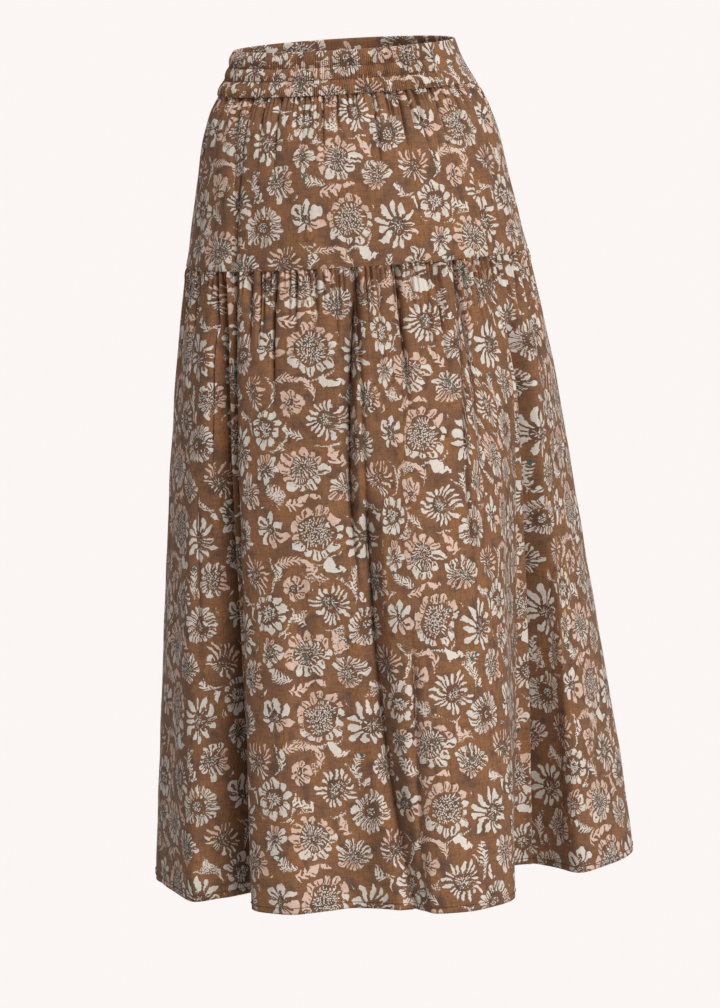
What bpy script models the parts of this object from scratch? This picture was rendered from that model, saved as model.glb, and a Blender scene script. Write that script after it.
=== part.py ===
"""A tiered midi skirt, worn: an elasticated waistband, a gathered upper tier and a fuller lower tier.

Metres, +Z up. The origin is the middle of the waist opening. The back of the skirt faces +Y and
the wearer's right is -X. Every piece of cloth is a thin wall through level sections of the skirt.
A place on a section is (across, near): across runs to -X and near runs to +Y. A turn is an angle
round the skirt in degrees, 0 at the middle of the back and 90 at the wearer's right side.
"""

import math

import bmesh
import bpy
from mathutils import Vector

# Driving dimensions
BAND_HEIGHT = 0.045
TIER_DROP = 0.228
HEM_DROP = 0.892
BAND_WALL = 0.0030
CLOTH_WALL = 0.0020
SEAM_GAP = 0.0003
LEAN_DEG = 3.4
LEFT_SEAM_DEG = -110.0
RIGHT_SEAM_DEG = 50.0

# The hollow form that the cloth hangs on, one row for each level section.
# back_dip is how much lower the section runs at the middle of the back than at the sides.
SECTION_COLUMNS = ("drop", "half_width", "back_depth", "front_depth", "back_dip")
SECTIONS = (
    (0.000, 0.1175, 0.0850, 0.0900, 0.0040),
    (0.020, 0.1240, 0.0905, 0.0940, 0.0040),
    (0.045, 0.1370, 0.1000, 0.1010, 0.0035),
    (0.060, 0.1455, 0.1075, 0.1060, 0.0030),
    (0.080, 0.1525, 0.1145, 0.1110, 0.0025),
    (0.130, 0.1640, 0.1270, 0.1210, 0.0010),
    (0.200, 0.1770, 0.1370, 0.1300, 0.0000),
    (0.228, 0.1830, 0.1400, 0.1340, 0.0000),
    (0.300, 0.1955, 0.1490, 0.1450, 0.0000),
    (0.400, 0.2090, 0.1610, 0.1590, 0.0005),
    (0.500, 0.2200, 0.1710, 0.1700, 0.0015),
    (0.600, 0.2305, 0.1800, 0.1790, 0.0030),
    (0.700, 0.2410, 0.1890, 0.1880, 0.0045),
    (0.800, 0.2510, 0.1970, 0.1970, 0.0060),
    (0.892, 0.2590, 0.2050, 0.2050, 0.0070),
)

# The large folds of the lower tier, one row for each crest and each valley line. Each leaves the
# tier seam at its turn, opens below the drop named starts, and meets the hem at (across, near).
FOLD_COLUMNS = ("name", "turn", "across", "near", "starts")
FOLDS = (
    ("left side", -90, -0.257, -0.005, 0.300),
    ("left shoulder", -77, -0.243, 0.040, 0.300),
    ("left bulge", -64, -0.212, 0.116, 0.260),
    ("left hollow", -54, -0.180, 0.104, 0.260),
    ("left valley", -46, -0.141, 0.096, 0.235),
    ("panel left edge", -40, -0.150, 0.168, 0.240),
    ("panel left crest", -30, -0.118, 0.200, 0.300),
    ("panel hollow", -6, -0.038, 0.190, 0.350),
    ("panel right crest", 16, 0.058, 0.240, 0.350),
    ("panel shoulder", 31, 0.103, 0.220, 0.350),
    ("panel right edge", 40, 0.126, 0.186, 0.360),
    ("right return", 45, 0.121, 0.108, 0.360),
    ("right valley", 51, 0.132, 0.030, 0.360),
    ("right valley foot", 61, 0.166, 0.036, 0.340),
    ("right bulge", 72, 0.199, 0.084, 0.320),
    ("right shoulder", 82, 0.236, 0.048, 0.300),
    ("right side", 91, 0.262, -0.010, 0.300),
    ("front right crest", 106, 0.240, -0.080, 0.280),
    ("front right valley", 120, 0.186, -0.088, 0.270),
    ("front right lobe", 134, 0.176, -0.166, 0.300),
    ("front right hollow", 150, 0.112, -0.176, 0.320),
    ("front middle right", 163, 0.078, -0.214, 0.330),
    ("front middle valley", 176, 0.014, -0.174, 0.300),
    ("front middle left", 190, -0.040, -0.216, 0.330),
    ("front left hollow", 204, -0.100, -0.180, 0.320),
    ("front left lobe", 219, -0.166, -0.178, 0.300),
    ("front left valley", 233, -0.184, -0.110, 0.270),
    ("front left crest", 248, -0.244, -0.088, 0.280),
)
FOLD_GROWTH = 1.15

# Gathers sewn into a seam, one row for each: a trough at its turn, depth deep at the seam,
# half_deg wide each way, that fades out over reach. The hidden front repeats them, turned round,
# a little further apart and shifted unevenly.
GATHER_COLUMNS = ("turn", "depth", "half_deg", "reach")
FRONT_GATHER_SPREAD = 1.04
FRONT_GATHER_SHIFT_DEG = 2.0
UPPER_GATHERS = (
    (-82.0, 0.0022, 3.2, 0.050),
    (-67.6, 0.0032, 3.0, 0.070),
    (-60.0, 0.0024, 2.8, 0.050),
    (-53.5, 0.0028, 2.8, 0.045),
    (-46.5, 0.0052, 3.6, 0.260),
    (-38.0, 0.0026, 3.0, 0.060),
    (-30.3, 0.0036, 3.2, 0.090),
    (-21.9, 0.0030, 2.8, 0.045),
    (-16.2, 0.0030, 2.8, 0.040),
    (-10.4, 0.0034, 2.8, 0.080),
    (-4.6, 0.0026, 2.8, 0.045),
    (4.0, 0.0022, 3.0, 0.040),
    (11.2, 0.0038, 3.0, 0.100),
    (17.0, 0.0026, 2.8, 0.055),
    (22.6, 0.0034, 2.8, 0.075),
    (30.9, 0.0032, 3.2, 0.070),
    (40.2, 0.0038, 3.2, 0.090),
    (58.0, 0.0026, 3.2, 0.050),
    (70.0, 0.0028, 3.4, 0.060),
    (81.0, 0.0020, 3.2, 0.045),
)
LOWER_GATHERS = (
    (-79.0, 0.0040, 4.4, 0.110),
    (-67.0, 0.0046, 4.4, 0.110),
    (-54.5, 0.0062, 4.2, 0.200),
    (-45.5, 0.0120, 4.4, 0.480),
    (-37.5, 0.0048, 3.8, 0.090),
    (-28.5, 0.0064, 4.2, 0.140),
    (-20.6, 0.0044, 3.6, 0.075),
    (-13.8, 0.0052, 3.6, 0.070),
    (-7.4, 0.0040, 3.4, 0.090),
    (-0.8, 0.0074, 3.8, 0.290),
    (6.2, 0.0034, 3.4, 0.070),
    (13.0, 0.0062, 3.8, 0.160),
    (19.6, 0.0036, 3.4, 0.070),
    (26.4, 0.0064, 3.8, 0.130),
    (34.4, 0.0064, 4.2, 0.230),
    (47.0, 0.0048, 4.2, 0.080),
    (58.5, 0.0040, 4.4, 0.080),
    (70.0, 0.0066, 4.6, 0.140),
    (81.5, 0.0042, 4.4, 0.090),
)

# The elasticated back of the waistband: three sewn channels, closely gathered.
CHANNEL_EDGES = (0.0, 0.0150, 0.0285, BAND_HEIGHT)
CHANNEL_PUFF = 0.0014
BAND_GATHERS = 48
BAND_GATHER_DEPTH = 0.0008
BAND_GATHER_UNEVEN = 0.35
BAND_UNEVEN_TURNS = 23

# How finely each piece is cut: the level rows, and the columns round the back and the front.
COLUMNS_PER_BAND_GATHER = 3
FRONT_BAND_COLUMNS = 36
UPPER_ROWS = (0.045, 0.058, 0.080, 0.115, 0.165, 0.228)
UPPER_COLUMNS = (84, 96)
LOWER_ROWS = (0.228, 0.243, 0.275, 0.330, 0.410, 0.510, 0.630, 0.760, 0.892)
LOWER_COLUMNS = (104, 104)


def rows_of(columns, table):
    """A table's rows as dictionaries, by column name."""
    return [dict(zip(columns, row)) for row in table]


def clamp(value, low, high):
    return max(low, min(high, value))


def section(drop):
    """The hollow form's section at a drop below the waist, between the two rows it lies in."""
    rows = rows_of(SECTION_COLUMNS, SECTIONS)
    above = max((r for r in rows if r["drop"] <= drop), key=lambda r: r["drop"], default=rows[0])
    below = min((r for r in rows if r["drop"] >= drop), key=lambda r: r["drop"], default=rows[-1])
    span = below["drop"] - above["drop"]
    share = (drop - above["drop"]) / span if span else 0.0
    return {name: above[name] + share * (below[name] - above[name]) for name in SECTION_COLUMNS}


def hull(form, turn):
    """The point of a section's plain oval at a turn, and the direction that faces out there."""
    angle = math.radians(turn)
    near_side = math.cos(angle) >= 0
    depth = form["back_depth"] if near_side else form["front_depth"]
    point = Vector((form["half_width"] * math.sin(angle), depth * math.cos(angle)))
    out = Vector((depth * math.sin(angle), form["half_width"] * math.cos(angle)))
    return point, out.normalized()


def smooth_closed(knots, values, period, gain, at):
    """A smooth curve through values at rising knots. It closes after period, up by gain."""
    count = len(knots)
    lap, at = divmod(at - knots[0], period)
    at += knots[0]
    first = max(i for i in range(count) if knots[i] <= at)

    def knot(i):
        return knots[i % count] + period * (i // count)

    def value(i):
        return values[i % count] + gain * (i // count)

    def slope(i):
        before, after = knot(i) - knot(i - 1), knot(i + 1) - knot(i)
        fall = (value(i) - value(i - 1)) / before
        rise = (value(i + 1) - value(i)) / after
        return (fall * after + rise * before) / (before + after)

    width = knot(first + 1) - knot(first)
    x = (at - knot(first)) / width
    return (
        value(first) * (1 + 2 * x) * (1 - x) ** 2
        + slope(first) * width * x * (1 - x) ** 2
        + value(first + 1) * x * x * (3 - 2 * x)
        + slope(first + 1) * width * x * x * (x - 1)
        + gain * lap
    )


def trough(offset, half_width):
    """1 in the middle of a gather, 0 at half_width either side of it."""
    if abs(offset) >= half_width:
        return 0.0
    return math.cos(0.5 * math.pi * offset / half_width) ** 2


def all_round(gathers):
    """The back's gathers, and the same ones turned round to the front and set unevenly there."""
    back = rows_of(GATHER_COLUMNS, gathers)
    front = []
    for g in back:
        shift = FRONT_GATHER_SHIFT_DEG * math.sin(g["turn"])
        front.append(dict(g, turn=180 - FRONT_GATHER_SPREAD * g["turn"] + shift))
    return back + front


def gathered(gathers, turn, below_seam):
    """How far the cloth stands in from its plain section at a turn, below its gathered seam."""
    depth = 0.0
    for g in gathers:
        offset = (turn - g["turn"] + 180) % 360 - 180
        fade = clamp(1 - below_seam / g["reach"], 0, 1)
        depth += g["depth"] * trough(offset, g["half_deg"]) * fade * (2 - fade)
    return depth


def band_point(drop, turn):
    """The waistband's middle surface: puffed channels, closely gathered round the back."""
    form = section(drop)
    point, out = hull(form, turn)
    if not LEFT_SEAM_DEG <= turn <= RIGHT_SEAM_DEG:
        return point
    channel = max(i for i, edge in enumerate(CHANNEL_EDGES[:-1]) if drop >= edge)
    top, bottom = CHANNEL_EDGES[channel : channel + 2]
    puff = CHANNEL_PUFF * math.sin(math.pi * clamp((drop - top) / (bottom - top), 0, 1))
    share = (turn - LEFT_SEAM_DEG) / (RIGHT_SEAM_DEG - LEFT_SEAM_DEG)
    wave = math.cos(2 * math.pi * BAND_GATHERS * share)
    uneven = 1 + BAND_GATHER_UNEVEN * math.sin(BAND_UNEVEN_TURNS * share + 2 * channel)
    near_seam = clamp(BAND_GATHERS / 2 * min(share, 1 - share), 0, 1)
    return point + out * near_seam * (puff + BAND_GATHER_DEPTH * uneven * wave)


def upper_point(drop, turn, gathers):
    """The upper tier's middle surface."""
    point, out = hull(section(drop), turn)
    return point - out * gathered(gathers, turn, drop - BAND_HEIGHT)


def fold_walk(folds):
    """How far round the lower tier each fold line is, from 0 to 1.

    It is halfway between its share of the tier seam and its share of the hem, so that the
    columns are close both where the cloth is gathered and where it runs into deep valleys.
    """
    hem_steps = []
    for here, after in zip(folds, folds[1:] + folds[:1]):
        step = Vector((after["across"] - here["across"], after["near"] - here["near"]))
        hem_steps.append(step.length)
    hem = sum(hem_steps)
    walk, walked = [], 0.0
    for fold, step in zip(folds, hem_steps):
        turned = (fold["turn"] - folds[0]["turn"]) / 360
        walk.append(0.5 * turned + 0.5 * walked / hem)
        walked += step
    return walk


def lower_section(drop, folds, walk, gathers, places):
    """The lower tier's middle surface at one drop: a point for each place round it, 0 to 1."""
    form, hem_form = section(drop), section(HEM_DROP)
    across, near = [], []
    for fold in folds:
        open_share = clamp((drop - fold["starts"]) / (HEM_DROP - fold["starts"]), 0, 1)
        plain, _ = hull(hem_form, fold["turn"])
        moved = Vector((fold["across"], fold["near"])) - plain
        across.append(moved.x * open_share**FOLD_GROWTH)
        near.append(moved.y * open_share**FOLD_GROWTH)
    turns = [fold["turn"] for fold in folds]
    points = []
    for place in places:
        turn = smooth_closed(walk, turns, 1, 360, place)
        point, out = hull(form, turn)
        point = point - out * gathered(gathers, turn, drop - TIER_DROP)
        moved = (
            smooth_closed(walk, across, 1, 0, place),
            smooth_closed(walk, near, 1, 0, place),
        )
        points.append(point + Vector(moved))
    return points


def turn_columns(left, right, back_columns, front_columns):
    """Turns of the columns all round, with one on each side seam, back first."""
    back = [left + (right - left) * i / back_columns for i in range(back_columns)]
    front_span = 360 - (right - left)
    front = [right + front_span * i / front_columns for i in range(front_columns)]
    return back + front


def cloth_panel(name, sections, drops, first, last, wall, material, frame):
    """One piece of cloth: a wall through the columns first to last of each level section.

    A flat grid is extruded into a slab, and each corner of it goes to its column, row and side.
    """
    columns, rows = last - first, len(drops) - 1
    mesh = bmesh.new()
    bmesh.ops.create_grid(mesh, x_segments=columns, y_segments=rows, size=0.5)
    slab = bmesh.ops.extrude_face_region(mesh, geom=mesh.faces[:])
    outside = {corner for corner in slab["geom"] if isinstance(corner, bmesh.types.BMVert)}
    for corner in mesh.verts:
        column = round((corner.co.x + 0.5) * columns)
        row = round((0.5 - corner.co.y) * rows)
        side = 0.5 if corner in outside else -0.5
        points = sections[row]
        count = len(points)
        here = points[(first + column) % count]
        along = points[(first + column + 1) % count] - points[(first + column - 1) % count]
        along.normalize()
        out = Vector((-along.y, along.x))
        trim = SEAM_GAP / 2 * ((column == 0) - (column == columns))
        place = here + out * wall * side + along * trim
        edge_gap = SEAM_GAP / 2 * ((row == 0) - (row == rows))
        drop = drops[row] + edge_gap
        form = section(drop)
        dip = form["back_dip"] * place.y / form["back_depth"]
        corner.co = (-place.x, place.y, -drop - dip)
    bmesh.ops.recalc_face_normals(mesh, faces=mesh.faces)
    data = bpy.data.meshes.new(name)
    mesh.to_mesh(data)
    mesh.free()
    data.shade_smooth()
    data.set_sharp_from_angle(angle=math.radians(60))
    data.materials.append(material)
    piece = bpy.data.objects.new(name, data)
    piece.parent = frame
    bpy.context.collection.objects.link(piece)
    return piece


def cloth_material(name, colour):
    """Matt printed cotton in one mean colour."""
    material = bpy.data.materials.new(name)
    material.use_nodes = True
    shader = material.node_tree.nodes["Principled BSDF"]
    shader.inputs["Base Color"].default_value = (*colour, 1)
    shader.inputs["Roughness"].default_value = 0.9
    shader.inputs["Metallic"].default_value = 0.0
    material.diffuse_color = (*colour, 1)
    return material


def waistband(frame):
    """The elasticated back band and the flat front band, joined at the side seams."""
    drops = []
    for top, bottom in zip(CHANNEL_EDGES, CHANNEL_EDGES[1:]):
        drops += [top, (top + bottom) / 2]
    drops.append(BAND_HEIGHT)
    back_columns = BAND_GATHERS * COLUMNS_PER_BAND_GATHER
    turns = turn_columns(LEFT_SEAM_DEG, RIGHT_SEAM_DEG, back_columns, FRONT_BAND_COLUMNS)
    rings = [[band_point(drop, turn) for turn in turns] for drop in drops]
    back_colour, front_colour = (0.26, 0.16, 0.095), (0.27, 0.165, 0.10)
    back = cloth_material("elasticated_band_cotton", back_colour)
    front = cloth_material("flat_band_cotton", front_colour)
    cloth_panel("waistband_back", rings, drops, 0, back_columns, BAND_WALL, back, frame)
    cloth_panel("waistband_front", rings, drops, back_columns, len(turns), BAND_WALL, front, frame)


def upper_tier(frame):
    """The upper tier's back and front panels, gathered into the waistband."""
    gathers = all_round(UPPER_GATHERS)
    turns = turn_columns(LEFT_SEAM_DEG, RIGHT_SEAM_DEG, *UPPER_COLUMNS)
    rings = [[upper_point(drop, turn, gathers) for turn in turns] for drop in UPPER_ROWS]
    split = UPPER_COLUMNS[0]
    back = cloth_material("upper_back_cotton", (0.29, 0.18, 0.11))
    front = cloth_material("upper_front_cotton", (0.30, 0.185, 0.115))
    cloth_panel("upper_tier_back", rings, UPPER_ROWS, 0, split, CLOTH_WALL, back, frame)
    cloth_panel("upper_tier_front", rings, UPPER_ROWS, split, len(turns), CLOTH_WALL, front, frame)


def lower_tier(frame):
    """The lower tier's back and front panels, gathered into the upper tier and open at the hem."""
    folds = rows_of(FOLD_COLUMNS, FOLDS)
    walk = fold_walk(folds)
    gathers = all_round(LOWER_GATHERS)
    turns = [fold["turn"] for fold in folds]

    def place_at(turn):
        """The place round the tier at which the seam turn is reached, by halving."""
        low, high = -1.0, 2.0
        for _ in range(40):
            middle = (low + high) / 2
            if smooth_closed(walk, turns, 1, 360, middle) < turn:
                low = middle
            else:
                high = middle
        return low

    left, right = place_at(LEFT_SEAM_DEG), place_at(RIGHT_SEAM_DEG)
    back_columns, front_columns = LOWER_COLUMNS
    places = [left + (right - left) * i / back_columns for i in range(back_columns)]
    places += [right + (left + 1 - right) * i / front_columns for i in range(front_columns)]
    rings = [lower_section(drop, folds, walk, gathers, places) for drop in LOWER_ROWS]
    count = len(places)
    back = cloth_material("lower_back_cotton", (0.28, 0.175, 0.105))
    front = cloth_material("lower_front_cotton", (0.29, 0.18, 0.11))
    cloth_panel("lower_tier_back", rings, LOWER_ROWS, 0, back_columns, CLOTH_WALL, back, frame)
    cloth_panel("lower_tier_front", rings, LOWER_ROWS, back_columns, count, CLOTH_WALL, front, frame)


for old in list(bpy.data.objects):
    bpy.data.objects.remove(old, do_unlink=True)

waist = bpy.data.objects.new("waist", None)
waist.rotation_euler = (0, math.radians(LEAN_DEG), 0)
bpy.context.collection.objects.link(waist)
waistband(waist)
upper_tier(waist)
lower_tier(waist)
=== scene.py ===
"""A tiered midi skirt in printed cotton, as worn, seen from behind.

Metres, +Z up. The origin is the middle of the waist opening. The back of the skirt faces +Y and
the wearer's right is -X. A place on a level section is (across, near): across runs to -X and near
runs to +Y. A turn is an angle round the skirt in degrees, 0 at the middle of the back and 90 at
the wearer's right side. A drop is how far a section lies below the waist.
"""

import math

import bmesh
import bpy
import numpy as np
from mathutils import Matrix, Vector


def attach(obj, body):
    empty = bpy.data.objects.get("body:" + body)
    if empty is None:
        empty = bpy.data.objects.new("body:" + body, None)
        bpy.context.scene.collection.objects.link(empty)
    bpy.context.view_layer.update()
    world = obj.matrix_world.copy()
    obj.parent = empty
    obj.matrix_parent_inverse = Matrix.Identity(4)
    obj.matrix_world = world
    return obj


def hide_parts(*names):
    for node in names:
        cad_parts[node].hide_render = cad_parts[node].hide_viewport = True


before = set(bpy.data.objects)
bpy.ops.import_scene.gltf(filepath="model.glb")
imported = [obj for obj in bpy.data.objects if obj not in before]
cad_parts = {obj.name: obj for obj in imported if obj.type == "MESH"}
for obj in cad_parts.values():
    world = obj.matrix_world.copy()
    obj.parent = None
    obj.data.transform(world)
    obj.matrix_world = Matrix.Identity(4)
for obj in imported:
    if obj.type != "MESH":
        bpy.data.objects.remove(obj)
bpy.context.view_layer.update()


# ---- The cloth -----------------------------------------------------------------------------
# Plain-weave cotton of about 150 g a square metre, slub yarns dyed brown in uneven lots, then
# block printed with flowers in cream and peach. All six panels are cut from it. It looks dull and
# dry, clouded where the dye took unevenly, with ragged edges where the blocks lifted off.

GROUND_BROWNS = ("8f623f", "79543c", "95633a", "523f34")
CREAM, CREAM_WORN = "d4cbc0", "c1b8ac"
PEACH, PEACH_WORN = "d3b6a5", "c2a18f"
TEAL, PLUM, LINE_BROWN = "35625a", "4a3a48", "543a2b"
WRONG_SIDE_BROWN = "9a8068"
MM = 0.001

# The print's repeat, in mm. Each column of repeats lies half a repeat lower than the one before.
REPEAT_ACROSS = 157.0
REPEAT_ALONG = 192.0

# The flowers of one repeat. Places and radius are in mm, other lengths are shares of the radius
# and angles are shares of a full turn. A flower has petals, thin slits cut into them, a small
# ring of petals and a speckled core. Its petals are peach over peach_span, centred on peach_at.
# lop shortens its lower petals, and beads lie in an arc of bead_span round it.
FLOWER_COLUMNS = (
    "name", "across", "along", "radius", "turn", "petals",
    "base", "fullness", "roundness",
    "vary", "slits", "slit_from",
    "slit_to", "ring_petals", "ring_base",
    "ring_tip", "core", "peach_at",
    "peach_span", "lop", "bead_span",
)
FLOWERS = (
    ("medallion", 30, 30, 29.7, 0.08, 14, 0.64, 0.95, 0.10, 0.14,
     31, 0.70, 0.98, 27, 0.44, 0.64, 0.44, 0.40, 0.46, 0.02, 0.46),
    ("long daisy", 84, 20, 29.7, 0.02, 12, 0.32, 0.76, 0.24, 0.24,
     13, 0.36, 0.72, 15, 0.08, 0.30, 0.10, 0.00, 0.00, 0.14, 0.00),
    ("scalloped", 132, 44, 23.3, 0.11, 10, 0.50, 0.95, 0.16, 0.16,
     23, 0.50, 0.86, 14, 0.10, 0.44, 0.26, 0.00, 0.00, 0.06, 0.40),
    ("half daisy", 111, 82, 26.5, 0.15, 18, 0.30, 0.68, 0.26, 0.26,
     11, 0.30, 0.80, 19, 0.07, 0.28, 0.08, 0.30, 0.50, 0.42, 0.66),
    ("zinnia", 62, 73, 25.4, 0.02, 13, 0.40, 0.90, 0.12, 0.24,
     29, 0.42, 0.94, 21, 0.12, 0.46, 0.14, 0.70, 0.26, 0.46, 0.00),
    ("dahlia", 18, 97, 28.6, 0.05, 12, 0.54, 0.97, 0.13, 0.20,
     19, 0.62, 0.96, 24, 0.08, 0.60, 0.08, 0.35, 0.60, 0.08, 0.00),
    ("anemone", 84, 121, 26.5, 0.07, 17, 0.44, 0.94, 0.10, 0.20,
     37, 0.48, 0.94, 13, 0.34, 0.48, 0.18, 0.00, 0.00, 0.10, 0.00),
    ("broad bloom", 136, 129, 26.5, 0.12, 7, 0.24, 0.94, 0.30, 0.26,
     9, 0.30, 0.78, 17, 0.08, 0.26, 0.10, 0.00, 0.18, 0.26, 0.00),
    ("narrow daisy", 44, 147, 25.4, 0.06, 18, 0.40, 0.72, 0.20, 0.22,
     17, 0.44, 0.66, 21, 0.14, 0.36, 0.20, 0.00, 0.00, 0.10, 0.50),
    ("poppy", 5, 165, 17.0, 0.21, 6, 0.22, 0.95, 0.26, 0.22,
     13, 0.34, 0.84, 11, 0.06, 0.24, 0.08, 0.00, 1.00, 0.30, 0.00),
    ("white zinnia", 101, 169, 24.4, 0.22, 11, 0.42, 0.93, 0.15, 0.24,
     25, 0.46, 0.92, 19, 0.10, 0.46, 0.12, 0.20, 0.30, 0.30, 0.00),
    ("small aster", 131, 4, 18.0, 0.31, 9, 0.36, 0.90, 0.20, 0.22,
     19, 0.40, 0.84, 13, 0.10, 0.38, 0.10, 0.60, 0.22, 0.25, 0.00),
)
BEAD_RING = 1.09
BEAD_PITCH = 2.7
BEAD_RADIUS = 1.42

# The sprigs between them, also in mm. Each has a curved stem and pairs of leaves slanting up it,
# longest halfway along. tail is how far the bare stem runs on below, and peach is 1 for peach.
SPRIG_COLUMNS = (
    "name", "across", "along", "turn",
    "half_length", "leaf", "pitch",
    "slant", "thickness", "curve",
    "tail", "peach", "teal", "bud",
)
SPRIGS = (
    ("tulip", 50, 185, -0.21, 9, 5.4, 7.6, 0.5, 0.95, 0.020, 19, 0.0, 0.0, 6.2),
    ("plume", 143, 168, -0.17, 15, 7.0, 3.9, 0.9, 0.80, 0.020, 12, 0.0, 1.0, 3.4),
    ("feather bud", 1, 1, 0.24, 15, 5.6, 4.6, 1.1, 0.76, 0.014, 15, 1.0, 0.0, 2.8),
    ("wheat", 9, 135, -0.16, 13, 6.0, 5.6, 1.2, 0.70, -0.018, 14, 0.0, 0.0, 3.0),
    ("long bud", 25, 183, -0.08, 9, 5.2, 6.4, 1.4, 0.80, -0.015, 11, 1.0, 0.0, 3.6),
    ("peach sprig", 7, 61, 0.21, 12, 7.4, 7.0, 1.0, 0.72, -0.014, 10, 1.0, 0.0, 3.6),
    ("fern", 69, 171, 0.01, 14, 6.2, 4.4, 0.9, 0.74, 0.020, 8, 0.0, 1.0, 2.6),
    ("leaf pair", 53, 105, -0.12, 10, 6.6, 7.6, 0.9, 0.80, 0.024, 11, 1.0, 0.0, 3.0),
    ("small leaf", 91, 56, -0.16, 8, 5.2, 5.6, 1.0, 0.74, 0.030, 8, 0.0, 0.0, 2.6),
    ("white bud", 108, 46, 0.42, 5, 4.6, 8.0, 0.6, 0.90, 0.030, 12, 0.0, 0.0, 4.8),
    ("tendril", 148, 23, -0.20, 7, 3.8, 4.4, 1.0, 0.62, 0.026, 22, 0.0, 0.0, 2.4),
    ("leaf", 78, 149, -0.04, 6, 4.6, 5.0, 1.0, 0.80, 0.030, 8, 0.0, 0.0, 2.6),
    ("pod", 32, 66, -0.20, 5, 4.0, 5.0, 0.8, 0.84, 0.020, 10, 1.0, 0.0, 3.6),
    ("shoot", 121, 148, 0.05, 6, 4.0, 4.2, 1.1, 0.76, 0.026, 12, 0.0, 1.0, 2.4),
    ("curl", 42, 50, 0.12, 5, 3.8, 4.4, 1.0, 0.76, -0.030, 14, 0.0, 0.0, 2.6),
    ("stem", 144, 84, 0.02, 8, 4.6, 5.2, 1.2, 0.74, -0.024, 14, 0.0, 0.0, 3.0),
)
STEM_HALF_WIDTH = 0.86

# How a hand-cut block strays, in mm: over this length, by this much. EDGE_BITE is what each
# printed edge loses.
SWAY_LENGTH, SWAY = 16.0, 9.0
TREMBLE_LENGTH, TREMBLE = 4.6, 2.1
EDGE_LENGTH, EDGE_RAGGED, EDGE_BITE = 2.0, 2.3, 1.58
# The other patterns, also in mm. A cloud has its own place in the pattern, its size, its colour,
# the share of the pattern from which it starts and how far it covers.
SPECKLE_PITCH = 1.9
WEAR_SIZE = 7.0
DYE_LOT_SIZE = 34.0
DYE_CLOUDS = (
    (311.0, 24.0, GROUND_BROWNS[2], 0.53, 0.9),
    (71.0, 17.0, GROUND_BROWNS[3], 0.55, 0.8),
)
GRAIN_SIZE = 1.3
SLUBS = ((2.2, 14.0), (16.0, 1.9))
SLUB_HEIGHT = 0.4


class Value:
    """What one output of a shader node gives. Arithmetic on it adds Math nodes to its tree."""

    def __init__(self, socket):
        self.socket = socket
        self.tree = socket.id_data

    def math(self, operation, *others, **settings):
        return node("Math", self, *others, operation=operation, **settings)

    def __add__(self, other):
        return self.math("ADD", other)

    def __sub__(self, other):
        return self.math("SUBTRACT", other)

    def __rsub__(self, other):
        return node("Math", other, self, operation="SUBTRACT")

    def __mul__(self, other):
        return self.math("MULTIPLY", other)

    def __truediv__(self, other):
        return self.math("DIVIDE", other)

    def __lt__(self, other):
        return self.math("LESS_THAN", other)

    def __gt__(self, other):
        return self.math("GREATER_THAN", other)

    def __abs__(self):
        return self.math("ABSOLUTE")

    def at_least(self, low):
        return self.math("MAXIMUM", low)

    def at_most(self, high):
        return self.math("MINIMUM", high)

    def times_plus(self, factor, more, **settings):
        return self.math("MULTIPLY_ADD", factor, more, **settings)

    def ramp(self, slope, start):
        """A share of it: slope times it plus start, held between 0 and 1."""
        return self.times_plus(slope, start, use_clamp=True)

    def wrapped(self, period):
        """It moved by whole periods to lie within half a period of 0."""
        return self.math("WRAP", period / 2, -period / 2)

    def vector(self, operation, *others, **settings):
        return node("VectorMath", self, *others, operation=operation, **settings)

    def length(self):
        return self.vector("LENGTH", out=1)

    def split(self):
        """The three parts of a place."""
        return [Value(part) for part in node("SeparateXYZ", self).socket.node.outputs]


def feed(made, inputs):
    """Give a node its inputs, by name or number, as links or values."""
    for name, value in inputs.items():
        if isinstance(value, Value):
            value.tree.links.new(value.socket, made.inputs[name])
        elif value is not None:
            made.inputs[name].default_value = value


def node(kind, *values, tree=None, out=0, **settings):
    """Add a node with these inputs and settings to their tree, or the tree given.

    It gives one of the node's outputs.
    """
    tree = tree or next(value.tree for value in values if isinstance(value, Value))
    made = tree.nodes.new("ShaderNode" + kind)
    for name, setting in settings.items():
        setattr(made, name, setting)
    feed(made, dict(enumerate(values)))
    return Value(made.outputs[out])


def linear(hex_colour):
    """An sRGB colour such as "8a6038" as linear red, green, blue and alpha."""
    shares = [int(hex_colour[i : i + 2], 16) / 255 for i in (0, 2, 4)]
    curve = [s / 12.92 if s <= 0.04045 else ((s + 0.055) / 1.055) ** 2.4 for s in shares]
    return (*curve, 1.0)


def blend(share, below, above):
    """One colour over another, by a share from 0 to 1."""
    colours = [linear(c) if isinstance(c, str) else c for c in (below, above)]
    return node("Mix", share, None, None, None, None, None, *colours, data_type="RGBA", out=2)


def noise(place, size, detail, out=0):
    """Flat cloudy noise of one size. Its outputs are a number and a colour."""
    return node("TexNoise", place, None, 1 / size, detail, noise_dimensions="2D", out=out)


def bumped(height, strength, distance):
    """The way that the surface faces, tilted by a relief of this height."""
    bump = node("Bump", strength, distance, tree=height.tree)
    feed(bump.socket.node, {"Height": height})
    return bump


def new_material(name):
    """A new material and its shader node."""
    material = bpy.data.materials.new(name)
    material.use_nodes = True
    return material, material.node_tree.nodes["Principled BSDF"]


def from_nearest_copy(cloth_x, cloth_y, across, along):
    """A place measured from the nearest copy of a motif in the half-drop repeat."""
    x = cloth_x - across
    near_x = x.wrapped(REPEAT_ACROSS)
    dropped = (near_x - x).times_plus(0.5 * REPEAT_ALONG / REPEAT_ACROSS, cloth_y - along)
    return node("CombineXYZ", near_x, dropped.wrapped(REPEAT_ALONG), 0.0)


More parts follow.
